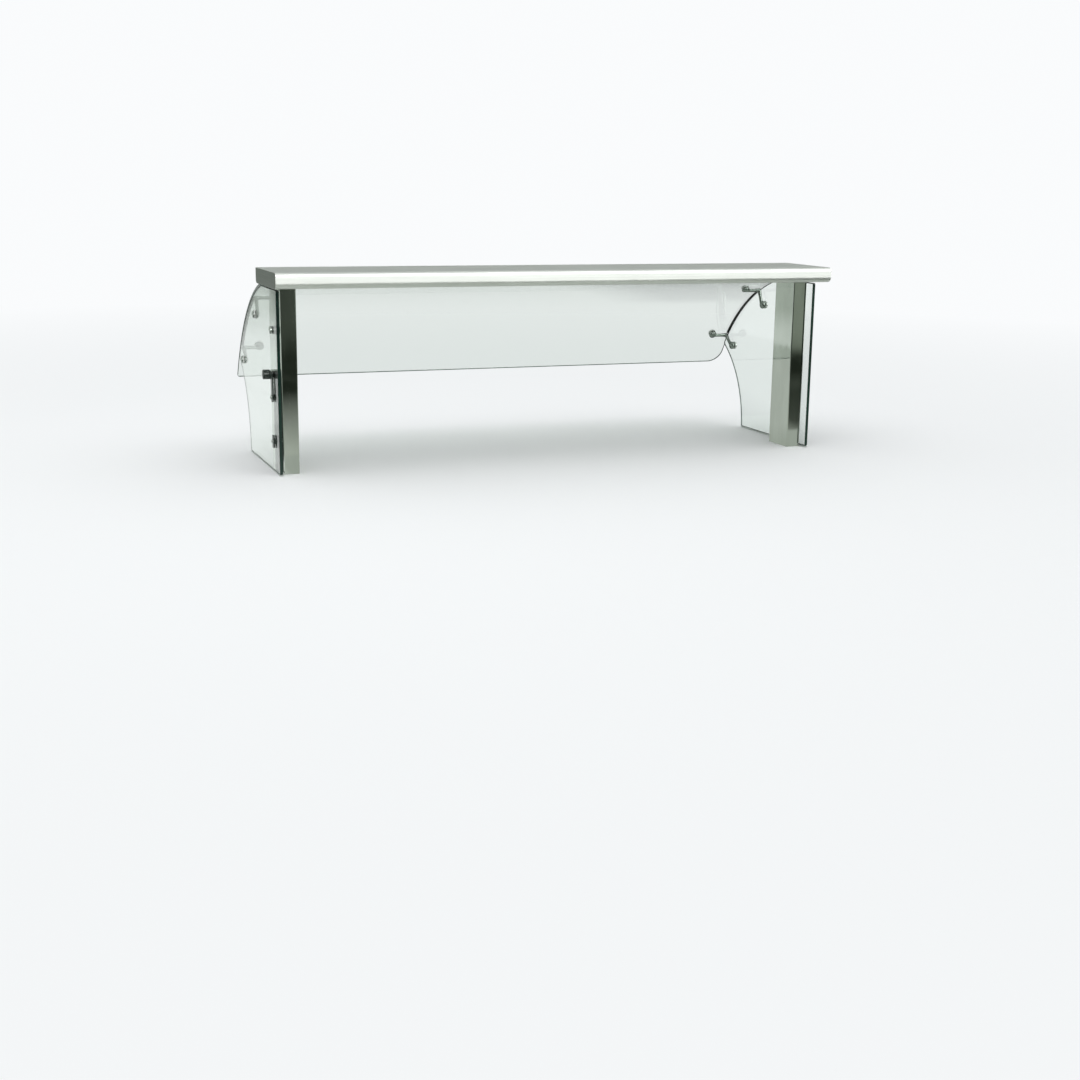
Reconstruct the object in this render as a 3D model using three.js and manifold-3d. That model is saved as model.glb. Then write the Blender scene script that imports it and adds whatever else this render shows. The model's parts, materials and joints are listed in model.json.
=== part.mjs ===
// Curved-glass sneeze guard for a buffet counter: a stainless overshelf on two mirror-polished posts,
// two flat end glasses and one bent front glass, held together by chrome corner brackets.
// Millimetres. +X is the operator's right, +Y points to the customer, +Z is up. The origin is the middle
// of the guard's footprint, at the level of the worktop that it stands on.

import * as THREE from "three";
import * as BufferGeometryUtils from "three/addons/utils/BufferGeometryUtils.js";
import Module from "manifold-3d";

const wasm = await Module();
wasm.setup();

// ---- Driving dimensions -------------------------------------------------------------------------

const GAP = 0.3; // left between pieces that touch on the real guard
const LINER = 1.0; // thickness of the soft liner between metal and glass
const SIDES = [
  { name: "left", sign: -1 },
  { name: "right", sign: 1 },
];

// Distances called offset, front and back are measured towards the customer from the shelf's centre line.
const SHELF = { length: 1506, depth: 240, height: 39, top: 497, sheet: 1.5 };
const NOSE = { topRadius: 10, bottomRadius: 14, backTopRadius: 4, backBottomRadius: 12, lip: 18 };

const POST = { width: 40, depth: 100, wall: 2, corner: 3, centreX: 707, offset: 10 };
const FOOT = { height: 6, holeRadius: 3.4, holeSpacing: 60 };
const HEAD = { width: 34, depth: 160, thickness: 3 };
const STIFFENER = { width: 34, height: 20, sheet: 1.5, flange: 12, length: 1440, offset: 68 };
const HEAD_BOLT = { radius: 3, acrossFlats: 10, headHeight: 4, grip: 12 };

const GLASS = 8;
const ARC = { offset: 12, centreZ: -66, inner: 530, from: 27.4, to: 77.4 }; // bent front glass, degrees
const FRONT_CORNER = { left: 6, right: 40 }; // lower corner radii of the front glass
const END_GLASS = { inner: 733, front: -62, foot: 3, top: 452, tipRadius: 9, cornerRadius: 4 };
const END_CUT = { offset: 594, radius: 280 }; // concave customer-side edge of the end glass
const STRIP_HEIGHT = 3; // clear strip that the end glass stands on

const BRACKET = { reach: 50, offset: 6.3, arm: 4.5, knuckle: 6, boss: 11, bossHeight: 10, bore: 3.3 };
const BRACKET_ANGLES = { lower: 39.2, upper: 66 }; // places of the corner brackets round the front glass
const SEAL = { radius: 3, margin: 0.85 }; // rubber cord in each glass corner; degrees left at each bracket
const GLASS_HOLE = 5;
const WASHER = { radius: 11, hole: 3.4, thickness: 2 };
const SCREW = { headRadius: 10, headHeight: 5, shank: 3, length: 19, socket: 2.3, socketDepth: 2.6 };

// Fixings of the end glass to the post: a stud, an L-shaped plate with a bolt and a cap bolt, and a foot
// plate with a bolt. The lower half of the joint is packed with a rubber strip.
const STUD_Z = 352;
const PATCH = { front: -13, back: 37, lowZ: 176, highZ: 252, legWidth: 18, legHeight: 22, corner: 5 };
const PATCH_BOLT_Z = 188;
const CAP_BOLT = { offset: 25, z: 241 };
const FOOT_PATCH = { front: -13, back: 5, lowZ: 62, highZ: 94 };
const PLATE = 3; // thickness of both plates
const POST_BOLT = { shank: 3, inside: 12, socket: 2, socketDepth: 2 };
const STUD_HEAD = { radius: 10, height: 5, rim: 2, crown: 7 };
const BUTTON_HEAD = { radius: 6, height: 3, rim: 1.2, crown: 4.2 };
const CAP_HEAD = { radius: 12, height: 16, rim: 13.5, crown: 10 };
const EDGE_SPACER = { front: -30, back: 2, lowZ: 4, highZ: 252 };
const CAP_SPACER_RADIUS = 8;

const ROUND = 16; // segments of small round features

// ---- Derived places -----------------------------------------------------------------------------

const shelfBottom = SHELF.top - SHELF.height;
const stiffenerTop = SHELF.top - SHELF.sheet - GAP;
const headTop = stiffenerTop - STIFFENER.height - GAP;
const postTop = headTop - HEAD.thickness - GAP;
const postOuter = POST.centreX + POST.width / 2;
const glassOuter = END_GLASS.inner + GLASS;
const arcOuter = ARC.inner + GLASS;
const lipReach = ARC.offset + arcOuter * Math.cos(THREE.MathUtils.degToRad(ARC.from));
const shelfY = (SHELF.depth / 2 - lipReach) / 2; // puts the middle of the footprint on the origin
const postY = shelfY + POST.offset;
const arcY = shelfY + ARC.offset;
const endCutY = shelfY + END_CUT.offset;
const patchBoltY = shelfY + PATCH.front + PATCH.legWidth / 2;
const capBoltY = shelfY + CAP_BOLT.offset;
const footBoltY = shelfY + (FOOT_PATCH.front + FOOT_PATCH.back) / 2;
const endArc = ARC.inner - 1; // edge of the end glass, just inside the front glass

// ---- Materials ----------------------------------------------------------------------------------

const steel = new THREE.MeshStandardMaterial({ color: 0xc9ccc8, roughness: 0.28, metalness: 1 });
const mirrorSteel = new THREE.MeshStandardMaterial({ color: 0xb9bcb6, roughness: 0.08, metalness: 1 });
const chrome = new THREE.MeshStandardMaterial({ color: 0xd2d4d4, roughness: 0.06, metalness: 1 });
const zinc = new THREE.MeshStandardMaterial({ color: 0x9a9c9b, roughness: 0.4, metalness: 1 });
const darkPlate = new THREE.MeshStandardMaterial({ color: 0x2b302d, roughness: 0.25, metalness: 0.6 });
const rubber = new THREE.MeshStandardMaterial({ color: 0x202322, roughness: 0.7, metalness: 0 });
const nylon = new THREE.MeshStandardMaterial({ color: 0xd9ddd8, roughness: 0.5, metalness: 0 });
const glass = new THREE.MeshStandardMaterial({
  color: 0xc5dbd0,
  roughness: 0.03,
  metalness: 0,
  transparent: true,
  opacity: 0.35,
});

// ---- Shape helpers ------------------------------------------------------------------------------

const guard = new THREE.Group();

function add(name, geometry, material) {
  const mesh = new THREE.Mesh(geometry, material);
  mesh.name = name;
  guard.add(mesh);
}

// A geometry as a manifold solid, with its shared vertices merged.
function solid(geometry) {
  const bare = geometry.clone();
  bare.deleteAttribute("normal");
  bare.deleteAttribute("uv");
  const merged = BufferGeometryUtils.mergeVertices(bare, 1e-4);
  const mesh = new wasm.Mesh({
    numProp: 3,
    vertProperties: new Float32Array(merged.attributes.position.array),
    triVerts: new Uint32Array(merged.index.array),
  });
  return new wasm.Manifold(mesh);
}

function geometry(manifold) {
  const mesh = manifold.getMesh();
  const result = new THREE.BufferGeometry();
  result.setAttribute("position", new THREE.BufferAttribute(mesh.vertProperties, 3));
  result.setIndex(new THREE.BufferAttribute(mesh.triVerts, 1));
  return result;
}

function join(geometries) {
  const solids = geometries.map(solid);
  return geometry(solids.reduce((sum, next) => sum.add(next)));
}

function cut(body, cutters) {
  const solids = cutters.map(solid);
  return geometry(solids.reduce((rest, next) => rest.subtract(next), solid(body)));
}

const radians = THREE.MathUtils.degToRad;

// Points of a circular arc from one angle to another, in degrees.
function arc(centreX, centreY, radius, from, to, steps) {
  const points = [];
  for (let i = 0; i <= steps; i += 1) {
    const angle = radians(from + ((to - from) * i) / steps);
    points.push([centreX + radius * Math.cos(angle), centreY + radius * Math.sin(angle)]);
  }
  return points;
}

function circle(centreX, centreY, radius, segments = ROUND) {
  return arc(centreX, centreY, radius, 0, 360, segments).slice(0, segments);
}

function roundedRectangle(width, depth, radius) {
  const x = width / 2 - radius;
  const y = depth / 2 - radius;
  return [
    ...arc(x, y, radius, 0, 90, 3),
    ...arc(-x, y, radius, 90, 180, 3),
    ...arc(-x, -y, radius, 180, 270, 3),
    ...arc(x, -y, radius, 270, 360, 3),
  ];
}

function rectangle(lowX, highX, lowY, highY) {
  return [
    [lowX, lowY],
    [highX, lowY],
    [highX, highY],
    [lowX, highY],
  ];
}

function prism(outline, depth, holes = []) {
  const shape = new THREE.Shape(outline.map(([x, y]) => new THREE.Vector2(x, y)));
  for (const hole of holes) {
    shape.holes.push(new THREE.Path(hole.map(([x, y]) => new THREE.Vector2(x, y))));
  }
  return new THREE.ExtrudeGeometry(shape, { depth, bevelEnabled: false });
}

// An XY outline raised from one height to another.
function prismZ(outline, lowZ, highZ, holes = []) {
  return prism(outline, highZ - lowZ, holes).translate(0, 0, lowZ);
}

// A YZ outline stretched from one X to another.
function prismX(outline, oneX, otherX, holes = []) {
  const lowX = Math.min(oneX, otherX);
  const turn = new THREE.Matrix4().makeBasis(
    new THREE.Vector3(0, 1, 0),
    new THREE.Vector3(0, 0, 1),
    new THREE.Vector3(1, 0, 0),
  );
  return prism(outline, Math.abs(otherX - oneX), holes).applyMatrix4(turn).translate(lowX, 0, 0);
}

const up = new THREE.Vector3(0, 1, 0);

// Stands a geometry made along +Y on a point, with its +Y along the given direction.
function stand(geometryAlongY, foot, direction) {
  const turn = new THREE.Quaternion().setFromUnitVectors(up, direction.clone().normalize());
  return geometryAlongY.applyQuaternion(turn).translate(foot.x, foot.y, foot.z);
}

function rod(from, to, radius, segments = ROUND) {
  const direction = to.clone().sub(from);
  const length = direction.length();
  const cylinder = new THREE.CylinderGeometry(radius, radius, length, segments).translate(0, length / 2, 0);
  return stand(cylinder, from, direction);
}

// A turned piece: [radius, height] points, revolved about +Y.
function turned(profile, segments = ROUND) {
  return new THREE.LatheGeometry(profile.map(([r, y]) => new THREE.Vector2(r, y)), segments);
}

// ---- Overshelf ----------------------------------------------------------------------------------

// The folded sheet's section, inset from its outer faces; it runs from the front lip over the top to the
// back lip.
function shelfSection(inset) {
  const half = SHELF.depth / 2;
  const front = shelfY - half;
  const back = shelfY + half;
  const { topRadius, bottomRadius, backTopRadius, backBottomRadius, lip } = NOSE;
  const bottom = shelfBottom;
  return [
    [front + bottomRadius + lip, bottom + inset],
    ...arc(front + bottomRadius, bottom + bottomRadius, bottomRadius - inset, 270, 180, 6),
    ...arc(front + topRadius, SHELF.top - topRadius, topRadius - inset, 180, 90, 5),
    ...arc(back - backTopRadius, SHELF.top - backTopRadius, backTopRadius - inset, 90, 0, 3),
    ...arc(back - backBottomRadius, bottom + backBottomRadius, backBottomRadius - inset, 0, -90, 5),
    [back - backBottomRadius - lip, bottom + inset],
  ];
}

function overshelf() {
  const half = SHELF.length / 2;
  const outside = shelfSection(0);
  const sheet = [...outside, ...shelfSection(SHELF.sheet).reverse()];
  const tray = prismX(sheet, -half, half);
  const ends = SIDES.map(({ sign }) => prismX(outside, sign * half, sign * (half - SHELF.sheet)));
  return join([tray, ...ends]);
}

// Hat-section stiffener under the tray's top sheet, its flanges up against the sheet.
function stiffener(centreY) {
  const { width, height, sheet, flange, length } = STIFFENER;
  const half = width / 2;
  const foot = stiffenerTop - height;
  const outline = [
    [centreY - half - flange, stiffenerTop],
    [centreY - half - flange, stiffenerTop - sheet],
    [centreY - half, stiffenerTop - sheet],
    [centreY - half, foot],
    [centreY + half, foot],
    [centreY + half, stiffenerTop - sheet],
    [centreY + half + flange, stiffenerTop - sheet],
    [centreY + half + flange, stiffenerTop],
    [centreY + half - sheet, stiffenerTop],
    [centreY + half - sheet, foot + sheet],
    [centreY - half + sheet, foot + sheet],
    [centreY - half + sheet, stiffenerTop],
  ];
  const holes = SIDES.map(({ sign }) => headBoltHole(sign, centreY));
  return cut(prismX(outline, -length / 2, length / 2), holes);
}

function headBoltHole(sign, y) {
  const x = sign * POST.centreX;
  const radius = HEAD_BOLT.radius + GAP;
  return rod(new THREE.Vector3(x, y, postTop - 1), new THREE.Vector3(x, y, stiffenerTop), radius);
}

add("overshelf", overshelf(), steel);
const stiffenerYs = { front: shelfY - STIFFENER.offset, back: shelfY + STIFFENER.offset };
for (const [place, y] of Object.entries(stiffenerYs)) {
  add(`shelf_stiffener_${place}`, stiffener(y), steel);
}

// ---- Posts --------------------------------------------------------------------------------------

// Places where bolts enter a post's outer wall, as [y, z].
const postBoltPlaces = [
  [shelfY, STUD_Z],
  [patchBoltY, PATCH_BOLT_Z],
  [capBoltY, CAP_BOLT.z],
  [footBoltY, (FOOT_PATCH.lowZ + FOOT_PATCH.highZ) / 2],
];

function postTube(sign) {
  const { width, depth, wall, corner, centreX } = POST;
  const bore = roundedRectangle(width - 2 * wall, depth - 2 * wall, corner - 1);
  const tube = prismZ(roundedRectangle(width, depth, corner), 0, postTop, [bore]);
  tube.translate(sign * centreX, postY, 0);
  const holes = postBoltPlaces.map(([y, z]) =>
    rod(
      new THREE.Vector3(sign * (postOuter - 2 * wall), y, z),
      new THREE.Vector3(sign * (postOuter + wall), y, z),
      POST_BOLT.shank + GAP,
    ),
  );
  return cut(tube, holes);
}

// Plate welded into the post's lower end, tapped for two screws that come up through the worktop.
function postFoot(sign) {
  const clear = 2 * (POST.wall + GAP);
  const outline = roundedRectangle(POST.width - clear, POST.depth - clear, POST.corner - 1.2);
  const holes = [-1, 1].map((end) => circle(0, (end * FOOT.holeSpacing) / 2, FOOT.holeRadius));
  return prismZ(outline, 0, FOOT.height, holes).translate(sign * POST.centreX, postY, 0);
}

// Plate welded across the post's head, bolted up to the two stiffeners.
function postHead(sign) {
  const outline = roundedRectangle(HEAD.width, HEAD.depth, 5);
  const plate = prismZ(outline, headTop - HEAD.thickness, headTop).translate(
    sign * POST.centreX,
    shelfY,
    0,
  );
  return cut(plate, Object.values(stiffenerYs).map((y) => headBoltHole(sign, y)));
}

// Hexagon bolt pointing up, its head under the post's head plate.
function headBolt(sign, y) {
  const { radius, acrossFlats, headHeight, grip } = HEAD_BOLT;
  const x = sign * POST.centreX;
  const seat = headTop - HEAD.thickness - GAP;
  const head = rod(
    new THREE.Vector3(x, y, seat - headHeight),
    new THREE.Vector3(x, y, seat),
    acrossFlats / Math.sqrt(3),
    6,
  );
  const shank = rod(new THREE.Vector3(x, y, seat - 1), new THREE.Vector3(x, y, seat + grip), radius, 12);
  return join([head, shank]);
}

for (const { name, sign } of SIDES) {
  add(`post_${name}`, postTube(sign), mirrorSteel);
  add(`post_foot_${name}`, postFoot(sign), zinc);
  add(`post_head_${name}`, postHead(sign), zinc);
  for (const [place, y] of Object.entries(stiffenerYs)) {
    add(`head_bolt_${name}_${place}`, headBolt(sign, y), zinc);
  }
}

// ---- Glass --------------------------------------------------------------------------------------

// A point on the guard's end plane, given as a distance from the front glass's centre line and an angle.
function onArc(radius, degrees) {
  const angle = radians(degrees);
  return [arcY + radius * Math.cos(angle), ARC.centreZ + radius * Math.sin(angle)];
}

// The end glass's outline: straight foot, operator edge and top, then down inside the front glass to a
// rounded tip, and back to the foot along a concave curve.
function endGlassOutline() {
  const { front, foot, top, tipRadius, cornerRadius } = END_GLASS;
  const frontY = shelfY + front;
  const topAngle = THREE.MathUtils.radToDeg(Math.asin((top - ARC.centreZ) / endArc));
  // The tip's centre keeps the tip radius to both curves.
  const inner = endArc - tipRadius;
  const outer = END_CUT.radius + tipRadius;
  const dy = endCutY - arcY;
  const dz = -ARC.centreZ;
  const apart = Math.hypot(dy, dz);
  const along = (inner ** 2 - outer ** 2 + apart ** 2) / (2 * apart);
  const aside = Math.sqrt(inner ** 2 - along ** 2);
  const tipY = arcY + (along * dy - aside * dz) / apart;
  const tipZ = ARC.centreZ + (along * dz + aside * dy) / apart;
  const tipAngle = THREE.MathUtils.radToDeg(Math.atan2(tipZ - ARC.centreZ, tipY - arcY));
  const cutAngle = THREE.MathUtils.radToDeg(Math.atan2(tipZ, tipY - endCutY));
  const footAngle = 180 - THREE.MathUtils.radToDeg(Math.asin(foot / END_CUT.radius));
  return [
    ...arc(frontY + cornerRadius, top - cornerRadius, cornerRadius, 180, 90, 3),
    ...arc(arcY, ARC.centreZ, endArc, topAngle, tipAngle, 18),
    ...arc(tipY, tipZ, tipRadius, tipAngle, cutAngle - 180, 7).slice(1, -1),
    ...arc(endCutY, 0, END_CUT.radius, cutAngle, footAngle, 16),
    ...arc(frontY + cornerRadius, foot + cornerRadius, cornerRadius, 270, 180, 3),
  ].reverse();
}

function endGlassHoles() {
  const bracketHoles = Object.values(BRACKET_ANGLES).map((angle) =>
    circle(...onArc(ARC.inner - BRACKET.reach, angle), GLASS_HOLE),
  );
  return [...bracketHoles, ...postBoltPlaces.map(([y, z]) => circle(y, z, GLASS_HOLE))];
}

function endGlass(sign) {
  return prismX(endGlassOutline(), sign * END_GLASS.inner, sign * glassOuter, endGlassHoles());
}

// Clear strip under the end glass's foot.
function footStrip(sign) {
  const back = endCutY - END_CUT.radius - 1;
  const outline = rectangle(shelfY + END_GLASS.front + 2, back, 0, STRIP_HEIGHT - GAP);
  return prismX(outline, sign * END_GLASS.inner, sign * glassOuter);
}

// The bar that is left outside a rounded lower corner of the front glass, laid along the glass's
// thickness.
function cornerCutter(sign, radius) {
  const outside = 3;
  const outline = [
    [outside, -outside],
    [outside, radius],
    ...arc(-radius, radius, radius, 0, -90, 8),
    [-radius, -outside],
  ];
  const angle = radians(ARC.from);
  const upwards = new THREE.Vector3(0, -Math.sin(angle), Math.cos(angle));
  const outwards = new THREE.Vector3(0, Math.cos(angle), Math.sin(angle));
  const sideways = new THREE.Vector3(sign, 0, 0);
  const turn = new THREE.Matrix4().makeBasis(sideways, upwards, outwards.clone().multiplyScalar(-sign));
  const [footY, footZ] = onArc(ARC.inner + GLASS / 2, ARC.from);
  const depth = 4 * GLASS;
  const cutter = prism(outline, depth).translate(0, 0, -depth / 2);
  return cutter.applyMatrix4(turn).translate(sign * glassOuter, footY, footZ);
}

function frontGlass() {
  const { centreZ, inner, from, to } = ARC;
  const steps = 25;
  const section = [
    ...arc(arcY, centreZ, arcOuter, from, to, steps),
    ...arc(arcY, centreZ, inner, to, from, steps),
  ];
  const sheet = prismX(section, -glassOuter, glassOuter);
  const cutters = SIDES.map(({ name, sign }) => cornerCutter(sign, FRONT_CORNER[name]));
  for (const { sign } of SIDES) {
    for (const angle of Object.values(BRACKET_ANGLES)) {
      cutters.push(radialRod(sign, angle, ARC.inner - GLASS, arcOuter + GLASS, GLASS_HOLE));
    }
  }
  return cut(sheet, cutters);
}

// X of the corner bracket's hole in the front glass.
function frontHoleX(sign) {
  return sign * (END_GLASS.inner - BRACKET.reach);
}

function radialRod(sign, degrees, fromRadius, toRadius, radius) {
  const x = frontHoleX(sign);
  const ends = [fromRadius, toRadius].map((r) => new THREE.Vector3(x, ...onArc(r, degrees)));
  return rod(ends[0], ends[1], radius);
}

for (const { name, sign } of SIDES) {
  add(`end_glass_${name}`, endGlass(sign), glass);
  add(`foot_strip_${name}`, footStrip(sign), nylon);
}
add("front_glass", frontGlass(), glass);

// ---- Corner brackets and their screws -----------------------------------------------------------

// A round boss standing on a glass face, with a domed inner end; made along +Y, away from the glass.
function bracketBoss() {
  const { boss, bossHeight } = BRACKET;
  const rim = bossHeight * 0.7;
  const low = LINER + GAP;
  return turned([
    [0, low],
    [boss, low],
    [boss, rim],
    [boss * 0.7, bossHeight],
    [0, bossHeight],
  ]);
}

// One arm from the knuckle to a boss. The glass face lies at height 0 and the arm runs along +Z.
function bracketArm() {
  const { reach, offset, arm } = BRACKET;
  const bar = rod(new THREE.Vector3(0, offset, offset), new THREE.Vector3(0, offset, reach), arm, 10);
  const boss = bracketBoss().translate(0, 0, reach);
  return [bar, boss];
}

// The bracket sits in the corner between the front glass, whose face it meets along the radius, and the
// end glass, whose face it meets along X.
function cornerBracket(sign, degrees) {
  const angle = radians(degrees);
  const corner = new THREE.Vector3(sign * END_GLASS.inner, ...onArc(ARC.inner, degrees));
  const inwards = new THREE.Vector3(-sign, 0, 0);
  const towardsAxis = new THREE.Vector3(0, -Math.cos(angle), -Math.sin(angle));
  const place = (height, run) => {
    const across = new THREE.Vector3().crossVectors(height, run);
    return new THREE.Matrix4().makeBasis(across, height, run).setPosition(corner);
  };
  const onFront = bracketArm().map((piece) => piece.applyMatrix4(place(towardsAxis, inwards)));
  const onEnd = bracketArm().map((piece) => piece.applyMatrix4(place(inwards, towardsAxis)));
  const middle = corner
    .clone()
    .addScaledVector(inwards, BRACKET.offset)
    .addScaledVector(towardsAxis, BRACKET.offset);
  const knuckle = new THREE.SphereGeometry(BRACKET.knuckle, 12, 8).translate(middle.x, middle.y, middle.z);
  const blind = BRACKET.bossHeight - 1.5;
  const frontBore = bossBore(frontHole(sign, degrees), blind);
  const endBore = bossBore(endHole(sign, degrees), blind);
  return cut(join([...onFront, ...onEnd, knuckle]), [frontBore, endBore]);
}

// A hole in the glass is given by the middle of its mouth on the inner face, and the way out.
function frontHole(sign, degrees) {
  const angle = radians(degrees);
  const mouth = new THREE.Vector3(frontHoleX(sign), ...onArc(ARC.inner, degrees));
  return { mouth, out: new THREE.Vector3(0, Math.cos(angle), Math.sin(angle)) };
}

function endHole(sign, degrees) {
  const mouth = new THREE.Vector3(sign * END_GLASS.inner, ...onArc(ARC.inner - BRACKET.reach, degrees));
  return { mouth, out: new THREE.Vector3(sign, 0, 0) };
}

function along({ mouth, out }, distance) {
  return mouth.clone().addScaledVector(out, distance);
}

function bossBore(hole, depth) {
  return rod(along(hole, GLASS), along(hole, -depth), BRACKET.bore);
}

function washer(hole) {
  const { radius, hole: bore, thickness } = WASHER;
  const ring = prism(circle(0, 0, radius), thickness, [circle(0, 0, bore)]);
  ring.rotateX(-Math.PI / 2);
  return stand(ring, along(hole, GLASS + GAP), hole.out);
}

// Domed cap screw with a hexagon socket; its head bears on the washer outside the glass.
function capScrew(hole) {
  const { headRadius, headHeight, shank, length, socket, socketDepth } = SCREW;
  const body = turned([
    [0, -length],
    [shank, -length],
    [shank, 0],
    [headRadius, 0],
    [headRadius, headHeight * 0.4],
    [headRadius * 0.65, headHeight],
    [0, headHeight],
  ]);
  const depth = socketDepth + 1;
  const recess = new THREE.CylinderGeometry(socket, socket, depth, 6);
  recess.translate(0, headHeight - socketDepth + depth / 2, 0);
  const seat = GLASS + WASHER.thickness + 2 * GAP;
  return stand(cut(body, [recess]), along(hole, seat), hole.out);
}

// Rubber cord laid in the corner between end glass and front glass, from bracket to bracket.
function cornerSeal(sign) {
  const { radius, margin } = SEAL;
  const inset = radius + GAP;
  const from = BRACKET_ANGLES.lower + margin;
  const to = BRACKET_ANGLES.upper - margin;
  const steps = 24;
  const points = arc(arcY, ARC.centreZ, ARC.inner - inset, from, to, steps).map(
    ([y, z]) => new THREE.Vector3(sign * (END_GLASS.inner - inset), y, z),
  );
  const section = new THREE.Shape(circle(0, 0, radius, 10).map(([x, y]) => new THREE.Vector2(x, y)));
  return new THREE.ExtrudeGeometry(section, { steps, extrudePath: new THREE.CatmullRomCurve3(points) });
}

for (const { name, sign } of SIDES) {
  add(`corner_seal_${name}`, cornerSeal(sign), rubber);
  for (const [level, angle] of Object.entries(BRACKET_ANGLES)) {
    const place = `${name}_${level}`;
    add(`corner_bracket_${place}`, cornerBracket(sign, angle), chrome);
    add(`front_washer_${place}`, washer(frontHole(sign, angle)), nylon);
    add(`front_screw_${place}`, capScrew(frontHole(sign, angle)), chrome);
    add(`end_washer_${place}`, washer(endHole(sign, angle)), nylon);
    add(`end_screw_${place}`, capScrew(endHole(sign, angle)), chrome);
  }
}

// ---- Post fixings of the end glass --------------------------------------------------------------

// Bolt that comes from outside through plate, glass and spacer into the post's wall.
function postBolt(sign, [y, z], seatX, head) {
  const { shank, inside, socket, socketDepth } = POST_BOLT;
  const length = seatX - postOuter + inside;
  const body = turned([
    [0, -length],
    [shank, -length],
    [shank, 0],
    [head.radius, 0],
    [head.radius, head.rim],
    [head.crown, head.height],
    [0, head.height],
  ]);
  const depth = socketDepth + 1;
  const recess = new THREE.CylinderGeometry(socket, socket, depth, 6);
  recess.translate(0, head.height - socketDepth + depth / 2, 0);
  const out = new THREE.Vector3(sign, 0, 0);
  return stand(cut(body, [recess]), new THREE.Vector3(sign * seatX, y, z), out);
}

function boltHoles(places) {
  return places.map(([y, z]) => circle(y, z, POST_BOLT.shank + GAP));
}

// L-shaped plate on the outer face of the end glass: one leg down the post, one towards the customer.
function patchOutline() {
  const { front, back, lowZ, highZ, legWidth, legHeight, corner: radius } = PATCH;
  const frontY = shelfY + front;
  const backY = shelfY + back;
  const legBack = frontY + legWidth;
  const legLow = highZ - legHeight;
  return [
    ...arc(frontY + radius, lowZ + radius, radius, 180, 270, 3),
    ...arc(legBack - radius, lowZ + radius, radius, 270, 360, 3),
    [legBack, legLow],
    ...arc(backY - radius, legLow + radius, radius, 270, 360, 3),
    ...arc(backY - radius, highZ - radius, radius, 0, 90, 3),
    ...arc(frontY + radius, highZ - radius, radius, 90, 180, 3),
  ];
}

function besidePost({ front, back, lowZ, highZ }) {
  return rectangle(shelfY + front, shelfY + back, lowZ, highZ);
}

const plateInner = glassOuter + LINER + GAP;
const plateFace = plateInner + PLATE + GAP;

function outerPlate(sign, outline, bolts) {
  return prismX(outline, sign * plateInner, sign * (plateInner + PLATE), boltHoles(bolts));
}

// Rubber packing between the post's outer face and the end glass.
function spacer(sign, outline, bolts) {
  return prismX(outline, sign * (postOuter + GAP), sign * (END_GLASS.inner - GAP), boltHoles(bolts));
}

for (const { name, sign } of SIDES) {
  const [stud, patch, cap, foot] = postBoltPlaces;
  add(`post_stud_${name}`, postBolt(sign, stud, plateInner, STUD_HEAD), chrome);
  add(`stud_spacer_${name}`, spacer(sign, circle(...stud, STUD_HEAD.radius), [stud]), rubber);
  add(`edge_spacer_${name}`, spacer(sign, besidePost(EDGE_SPACER), [patch, foot]), rubber);

  add(`patch_plate_${name}`, outerPlate(sign, patchOutline(), [patch, cap]), darkPlate);
  add(`patch_bolt_${name}`, postBolt(sign, patch, plateFace, BUTTON_HEAD), chrome);
  add(`cap_bolt_${name}`, postBolt(sign, cap, plateFace, CAP_HEAD), darkPlate);
  add(`cap_spacer_${name}`, spacer(sign, circle(...cap, CAP_SPACER_RADIUS), [cap]), rubber);

  add(`foot_patch_${name}`, outerPlate(sign, besidePost(FOOT_PATCH), [foot]), darkPlate);
  add(`foot_bolt_${name}`, postBolt(sign, foot, plateFace, BUTTON_HEAD), chrome);
}

export default guard;
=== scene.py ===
"""Looks of a bent-glass sneeze guard: satin overshelf, mirror posts, green-edged glass, chrome fixings.

Metres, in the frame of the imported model: +X is the operator's right, +Y points to the customer, +Z is up.
"""

import json
import math

import bmesh
import bpy
from mathutils import Matrix, Vector


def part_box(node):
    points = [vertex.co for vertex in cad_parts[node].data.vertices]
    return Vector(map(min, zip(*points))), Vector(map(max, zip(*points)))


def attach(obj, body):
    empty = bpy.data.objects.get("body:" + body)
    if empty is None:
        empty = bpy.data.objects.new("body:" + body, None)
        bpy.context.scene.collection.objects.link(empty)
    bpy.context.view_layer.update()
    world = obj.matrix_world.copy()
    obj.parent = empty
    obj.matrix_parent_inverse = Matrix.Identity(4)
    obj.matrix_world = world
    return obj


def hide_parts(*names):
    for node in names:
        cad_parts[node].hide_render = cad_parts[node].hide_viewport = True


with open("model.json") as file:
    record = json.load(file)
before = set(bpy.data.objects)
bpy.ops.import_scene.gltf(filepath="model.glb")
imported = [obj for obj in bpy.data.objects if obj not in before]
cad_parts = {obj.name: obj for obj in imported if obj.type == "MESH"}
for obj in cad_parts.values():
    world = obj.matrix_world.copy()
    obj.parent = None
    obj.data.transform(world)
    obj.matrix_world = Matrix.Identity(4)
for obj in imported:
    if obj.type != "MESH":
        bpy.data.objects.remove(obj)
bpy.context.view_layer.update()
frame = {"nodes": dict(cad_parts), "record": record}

# ---- Driving dimensions ------------------------------------------------------------------------------

SIDES = {"left": -1, "right": 1}
LEVELS = {"lower": 39.2, "upper": 66.0}  # places of the corner brackets round the front glass, degrees
GAP = 0.0003  # left between pieces that touch
LINER = 0.001  # soft liner between metal and glass

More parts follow.
